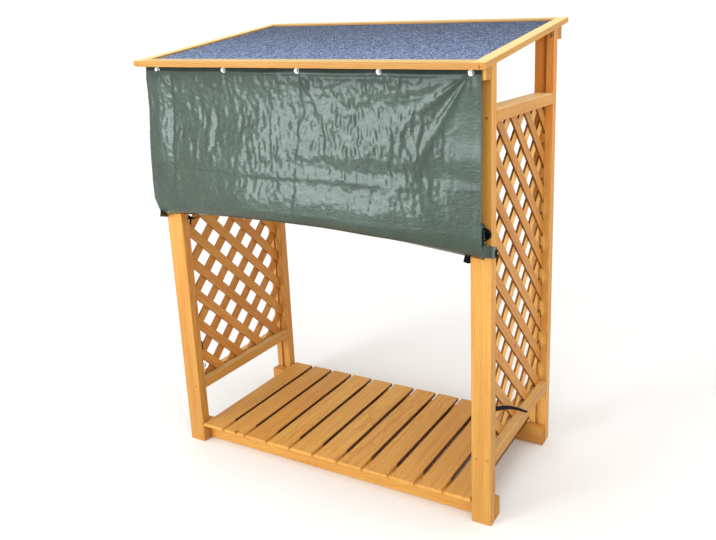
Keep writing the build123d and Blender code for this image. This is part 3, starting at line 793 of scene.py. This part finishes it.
def makeCover(c):
    s = np.linspace(0, 1, c["columns"])[None]
    fall = np.linspace(0, 1, c["hangRows"])[:, None]
    turn = np.linspace(0, 2 * np.pi * c["turns"], int(c["turns"] * c["turnRows"]))[1:, None]
    edgeAt = [np.array(c[k]).T for k in ("leftEdge", "rightEdge")]

    def rollLevel(x):
        low = np.polyval(c["bottom"][::-1], x)
        loose = np.where(x < 0, *c["looseEnds"]) * step(0.22, 0.66, np.abs(x))
        return low + loose + c["rollHalf"][1], loose

    # hanging part: straight down from the top to the roll's mid-height, pushed forward by the folds
    zHang = c["top"] + (c["hangEnd"] - c["top"]) * fall
    left, right = (np.interp(zHang, *e) for e in edgeAt)
    x = left + (right - left) * s
    bulge = coverFolds(c, x, np.broadcast_to(zHang, x.shape))
    swag = c["swag"] * np.abs(np.sin(np.pi * (x - c["knobX"][0]) / (c["knobX"][1] - c["knobX"][0])))
    z = zHang + (rollLevel(x)[0] - c["hangEnd"]) * step(0.1, 1.0, fall) - swag * (1 - fall)
    hang = np.stack([x, c["front"] - bulge, z], -1)
    # the roll: a rounded flat spiral that loses one layer's thickness each turn; its outer turn hangs loose
    depth, tall = (h - c["layer"] * turn / (2 * np.pi) for h in c["rollHalf"])
    power = 2 / c["roundness"]
    cos, sin = np.cos(turn), np.sin(turn)
    inLeft = left[-1] + 0.020 * step(0, 1.6, turn) + 0.003 * np.sin(2.3 * turn)
    inRight = right[-1] - 0.002 * step(0, 3, turn) + 0.0015 * np.sin(1.7 * turn)
    xRoll = inLeft + (inRight - inLeft) * s
    level, loose = rollLevel(xRoll)
    ripple = 0.0012 * np.sin(9 * xRoll + 1) + 0.0008 * np.sin(23 * xRoll)
    yRoll = c["rollMiddle"] - depth * np.sign(cos) * np.abs(cos) ** power + ripple * step(0, 1, turn)
    yRoll -= bulge[-1:] * np.where(turn < np.pi / 2, np.clip(cos, 0, 1) ** 0.8, 0)
    hangOut = np.clip(1.15 * np.sin(turn / 1.5), 0, 1) * (turn < 1.5 * np.pi)
    zRoll = level - tall * np.sign(sin) * np.abs(sin) ** power - loose * hangOut
    points = np.concatenate([hang, np.stack([xRoll, yRoll, zRoll], -1)])
    legs = np.linalg.norm(np.diff(points[:, c["columns"] // 2], axis=0), axis=1)  # down the middle column
    run = np.concatenate([[0], np.cumsum(legs)])
    width = right.mean() - left.mean()
    uv = np.stack(np.broadcast_arrays(s * width, -run[:, None]), -1)
    faces = gridFaces(len(points), c["columns"]).tolist()
    piece = makePiece("cover_sheet", points, faces, tarpSheet, uv, "cover_fabric", stands="rain_cover")
    solid = piece.modifiers.new("thickness", "SOLIDIFY")
    solid.thickness, solid.offset = c["thick"], 0
    return piece, (round(width, 3), round(float(run[-1]), 3))


coverSheet, coverFlat = makeCover(cover)
print("cover: sheet of %.2f x %.2f m hung and rolled" % coverFlat)

# knobs: domed white buttons on the eyelets, in the places of the solids
knob = {
    "seat": -0.367, "head": 0.0064, "neck": 0.004, "neckLong": 0.0058, "rim": 0.0022, "segments": 28,
    # radius and height, from the rim inwards
    "dish": ((0.0038, 0.0104), (0.0033, 0.0105), (0.0026, 0.0098), (0.0013, 0.0096), (0, 0.0096)),
}


def plasticMaterial(name, colour, roughness):
    material, tree, shader = newMaterial(name, IOR=1.49)
    place = add(tree, "TexCoord").outputs["Object"]
    mottle = spread(tree, noise(tree, place, 160.0, 3), 0.3, 0.7)
    paint(tree, shader, mix(tree, mottle, colour, dimmed(colour, 0.9)),
          spread(tree, mottle, 0.0, 1.0, roughness, roughness + 0.12))
    bumpUp(tree, shader, mottle, 0.1, 0.0003)
    return material


whitePlastic = plasticMaterial("whiteKnobPlastic", linear(226, 226, 222), 0.28)
facingFront = ((1, 0, 0), (0, 0, 1), (0, -1, 0))  # where the x, y and z of a turned shape point


def makeKnobs(k):
    # neck, flat underside, half-round rim and a shallow dish, turned about the knob's axis
    bend = np.linspace(-np.pi / 2, np.pi / 2, 7)
    out = k["head"] + k["rim"] * (np.cos(bend) - 1)
    rim = np.stack([out, k["neckLong"] + k["rim"] * (np.sin(bend) + 1)], -1)
    profile = np.vstack([(k["neck"], 0), (k["neck"], k["neckLong"]), rim, k["dish"]])
    points, faces = lathe(profile, k["segments"])
    for number, x in enumerate(cover["knobX"], 1):
        origin = (x, k["seat"], cover["knobZ"])
        copy, same = placeCopies(points, faces, [(origin, *facingFront)])
        makePiece("knob_%d" % number, copy, same, whitePlastic, slot="knob_plastic",
                  stands="cover_knob_%d" % number)


makeKnobs(knob)


def metalMaterial(name, colour, roughness):
    material, tree, shader = newMaterial(name)
    place = add(tree, "TexCoord").outputs["Object"]
    stain = spread(tree, noise(tree, place, 420.0, 3, 0.6), 0.3, 0.7)
    paint(tree, shader, mix(tree, stain, colour, dimmed(colour, 0.55)),
          spread(tree, stain, 0.0, 1.0, roughness, roughness + 0.25))
    feed(tree, shader.inputs["Metallic"], spread(tree, stain, 0.0, 1.0, 1.0, 0.75))
    bumpUp(tree, shader, stain, 0.15, 0.0002)
    return material


zinc = metalMaterial("zincPlate", linear(196, 194, 188), 0.30)
dullZinc = metalMaterial("dullZinc", linear(118, 120, 126), 0.36)
brassScrew = metalMaterial("brownedScrew", linear(196, 138, 74), 0.42)

# eyelets: a flat ring in the hem under each knob
eyelet = {"radius": 0.0072, "wide": 0.0026, "thick": 0.0006, "proud": 0.0016}


def makeEyelets(e, c):
    # a flat ring of rounded section, one on the sheet behind each knob
    bend = np.linspace(0, 2 * np.pi, 10, endpoint=False)[:, None]
    turn = np.linspace(0, 2 * np.pi, 28, endpoint=False)
    out, lift = e["radius"] + e["wide"] * np.cos(bend), e["thick"] * np.sin(bend)
    points = np.stack(np.broadcast_arrays(out * np.cos(turn), out * np.sin(turn), lift), -1).reshape(-1, 3)
    faces = gridFaces(10, 28, True, True)[:, ::-1].tolist()
    frames = [((x, c["front"] - e["proud"], c["knobZ"]), *facingFront) for x in c["knobX"]]
    return makePiece("cover_eyelets", *placeCopies(points, faces, frames), zinc, slot="knob_plastic")


eyelets = makeEyelets(eyelet, cover)
print("knobs: five, with eyelets")

# bands and straps
band = {"height": 0.036, "thick": 0.0012, "frontLevel": 0.962, "backLevel": 0.936}
strap = {"width": 0.034, "thick": 0.0022, "middle": 0.399}
endLoop = {"width": 0.014, "thick": 0.0016, "tab": 0.017}
tie = {
    "width": 0.024, "thick": 0.0018,
    # heights behind and inside the post, where its end hangs, the end's share of the width, the twist
    "right": {"level": 0.934, "inner": 0.916, "tailX": 0.652, "tail": 0.55, "turn": 0.0},
    "left": {"level": 0.924, "tailX": 0.583, "tail": 0.30, "turn": 1.45},
}


def joinStrips(*strips):
    points = [np.asarray(p).reshape(-1, 3) for p, f, u in strips]
    starts = np.concatenate([[0], np.cumsum([len(p) for p in points])])
    faces = [[v + int(k) for v in face] for (p, f, u), k in zip(strips, starts) for face in f]
    return np.concatenate(points), faces, np.concatenate([np.asarray(u).reshape(-1, 2) for p, f, u in strips])


def always(direction, count):
    return np.tile(np.asarray(direction, float), (count, 1))


def handOf(side):
    return "left" if side < 0 else "right"


def makeBand(side, b):
    # from the end of the roll over the post's front arris and back along its outer face, falling as it goes
    plan = np.array([(0.6405, -0.3665), (0.6440, -0.352), (0.6505, -0.334), (0.6562, -0.324),
                     (0.6568, -0.312), (0.6566, -0.300), (0.6563, -0.285)])
    level = np.interp(plan[:, 1], (-0.37, -0.285), (b["frontLevel"], b["backLevel"]))
    path = smoothPath(np.column_stack([plan, level]), 40) * np.array([side, 1, 1])
    points, faces, uv = webbingStrip(path, always((0, 0, 1), 40), b["height"], b["thick"])
    makePiece(handOf(side) + "_band", points, faces, tarpBand, uv, "cover_fabric",
              stands=handOf(side) + "_cover_band")


def makeStrap(side, s):
    # a doubled loop behind the post; on the right its tapering tail runs on down to the lower rail
    near = 0.6315 if side > 0 else -0.6085
    plan = [(0, -0.285), (0.0008, -0.279), (0.004, -0.2735), (0.009, -0.272), (0.014, -0.2735),
            (0.0168, -0.279), (0.0175, -0.2848)]
    path = smoothPath([(near + x, y, s["middle"]) for x, y in plan], 36)
    strips = [webbingStrip(path, always((0, 0, 1), 36), s["width"], s["thick"])]
    if side > 0:
        tail = smoothPath([(0.647, -0.284, 0.408), (0.650, -0.200, 0.372), (0.651, -0.126, 0.335),
                           (0.655, -0.063, 0.298), (0.660, 0.009, 0.2527)], 60)
        run = np.linspace(0, 1, 60)
        lean = 0.5 * run[:, None]
        strips.append(webbingStrip(tail, np.hstack([np.sin(lean), 0 * lean, np.cos(lean)]),
                                   s["width"] * (0.50 - 0.28 * run), s["thick"] * 0.8))
    points, faces, uv = joinStrips(*strips)
    makePiece(handOf(side) + "_strap", points, faces, blackWebbing, uv, "strap_webbing",
              stands=handOf(side) + "_tie_strap")


def makeRollTie(side, t):
    # webbing round the back of the post, through the trellis, to the roll; with a pointed end hanging down
    own = t[handOf(side)]
    high = own["level"]
    plan = [(0.6572, -0.300, high + 0.003), (0.6574, -0.286, high + 0.002), (0.6545, -0.2828, high + 0.001),
            (0.640, -0.2822, high), (0.620, -0.2818, high), (0.600, -0.2822, high - 0.002),
            (0.5855, -0.2826, high - 0.004)]
    if side > 0:
        low = own["inner"]
        plan += [(0.5826, -0.286, high - 0.006), (0.5826, -0.300, low + 0.004), (0.5824, -0.318, low),
                 (0.5790, -0.3245, low), (0.5660, -0.3260, low + 0.003)]
    else:
        plan += [(0.570, -0.2826, high - 0.002), (0.552, -0.2826, high + 0.002)]
    path = smoothPath(plan, 90) * np.array([side, 1, 1])
    x = own["tailX"]
    drop = smoothPath([(x, -0.2805, high - 0.004), (x, -0.2800, high - 0.016),
                       (x + 0.001, -0.2795, high - 0.034)], 12)
    point = t["width"] * own["tail"] * (1.02 - np.linspace(0, 1, 12) ** 2)
    flat = step(0.62, 0.78, np.linspace(0, 1, 90))[:, None] * own["turn"]
    points, faces, uv = joinStrips(
        webbingStrip(path, np.hstack([0 * flat, np.sin(flat), np.cos(flat)]), t["width"], t["thick"]),
        webbingStrip(drop * np.array([side, 1, 1]), always((1, 0, 0), 12), point, t["thick"]))
    makePiece(handOf(side) + "_roll_tie", points, faces, blackWebbing, uv, "strap_webbing")


def makeEndLoop(side, e):
    # a short loop of webbing standing out of the end of the roll, with a rounded tab that fills it
    plan = [(0.6385, 0.988), (0.6480, 0.991), (0.6565, 0.998), (0.6590, 1.006), (0.6565, 1.015),
            (0.6480, 1.022), (0.6385, 1.025)]
    path = smoothPath([(side * x, -0.342, z) for x, z in plan], 40)
    tab = smoothPath([(side * 0.6480, -0.3400, z) for z in (0.990, 1.0065, 1.023)], 16)
    tabWidth = e["tab"] * np.sqrt(np.sin(np.linspace(0.05, np.pi - 0.05, 16)))
    points, faces, uv = joinStrips(webbingStrip(path, always((0, 1, 0), 40), e["width"], e["thick"]),
                                   webbingStrip(tab, always((1, 0, 0), 16), tabWidth, e["thick"]))
    makePiece(handOf(side) + "_end_loop", points, faces, blackWebbing, uv, "strap_webbing")


for side in (-1, 1):
    makeBand(side, band)
    makeStrap(side, strap)
    makeRollTie(side, tie)
    makeEndLoop(side, endLoop)
print("bands and straps: two of each")

# screw eyes for the straps
screwEye = {
    "ring": 0.0066, "wire": 0.0017, "stem": 0.0085,
    "places": (  # foot on the wood, direction out of it
        ((-0.598, -0.285, 0.309), (0, 1, 0)), ((0.598, -0.285, 0.309), (0, 1, 0)),
        ((0.648, 0.253, 1.566), (0, -1, 0)), ((-0.648, 0.253, 1.566), (0, -1, 0)),
    ),
}


def makeScrewEyes(e):
    # a wire ring, its section turned round a circle, on a straight stem with a collar
    around = np.linspace(0, 2 * np.pi, 24, endpoint=False)[:, None]
    section = np.linspace(0, 2 * np.pi, 8, endpoint=False)[None]
    out = e["ring"] + e["wire"] * np.cos(section)
    ring = np.stack([out * np.cos(around), e["wire"] * np.sin(section) + 0 * around,
                     e["stem"] + e["ring"] * 0.9 + out * np.sin(around)], -1)
    stem, stemFaces = lathe([(0.0032, 0), (0.0032, 0.0010), (e["wire"], 0.0014), (e["wire"], e["stem"]),
                             (0, e["stem"] + 0.0005)], 10)
    points = np.concatenate([ring.reshape(-1, 3), stem])
    faces = gridFaces(24, 8, True, True).tolist() + [[v + ring[..., 0].size for v in f] for f in stemFaces]
    frames = [(foot, (0, 0, 1), np.cross(away, (0, 0, 1)), away) for foot, away in e["places"]]
    return makePiece("screw_eyes", *placeCopies(points, faces, frames), dullZinc, slot="knob_plastic")


makeScrewEyes(screwEye)
print("screw eyes: %d" % len(screwEye["places"]))

# screws: countersunk heads with a cross recess
screw = {
    "radius": 0.0043, "rise": 0.0005, "apart": 0.0185, "segments": 16,
    "faces": ((-0.323, -1), (0.291, 1)),  # y, and which way is out
    "posts": (-0.620, 0.620), "heights": (0.239, 1.347),
}


def makeScrews(s):
    # a shallow dome; the recess is where either |x| or |y| is under its half-width, near the middle
    profile = [(s["radius"], 0.0), (s["radius"] * 0.95, s["rise"] * 0.7), (s["radius"] * 0.8, s["rise"]),
               (s["radius"] * 0.55, s["rise"]), (s["radius"] * 0.3, s["rise"] * 0.9), (0, s["rise"] * 0.1)]
    points, faces = lathe(profile, s["segments"])
    r = np.hypot(points[:, 0], points[:, 1])
    slot = np.minimum(np.abs(points[:, 0]), np.abs(points[:, 1])) < s["radius"] * 0.12
    points[slot & (r < s["radius"] * 0.6), 2] = 0.0001
    frames = [((x + shift, y, z), (-way, 0, 0), (0, 0, 1), (0, way, 0)) for y, way in s["faces"]
              for x in s["posts"] for z in s["heights"] for shift in (-s["apart"], s["apart"])]
    return makePiece("post_screws", *placeCopies(points, faces, frames), brassScrew, slot="frame_wood")


makeScrews(screw)
print("screws: set in the posts")
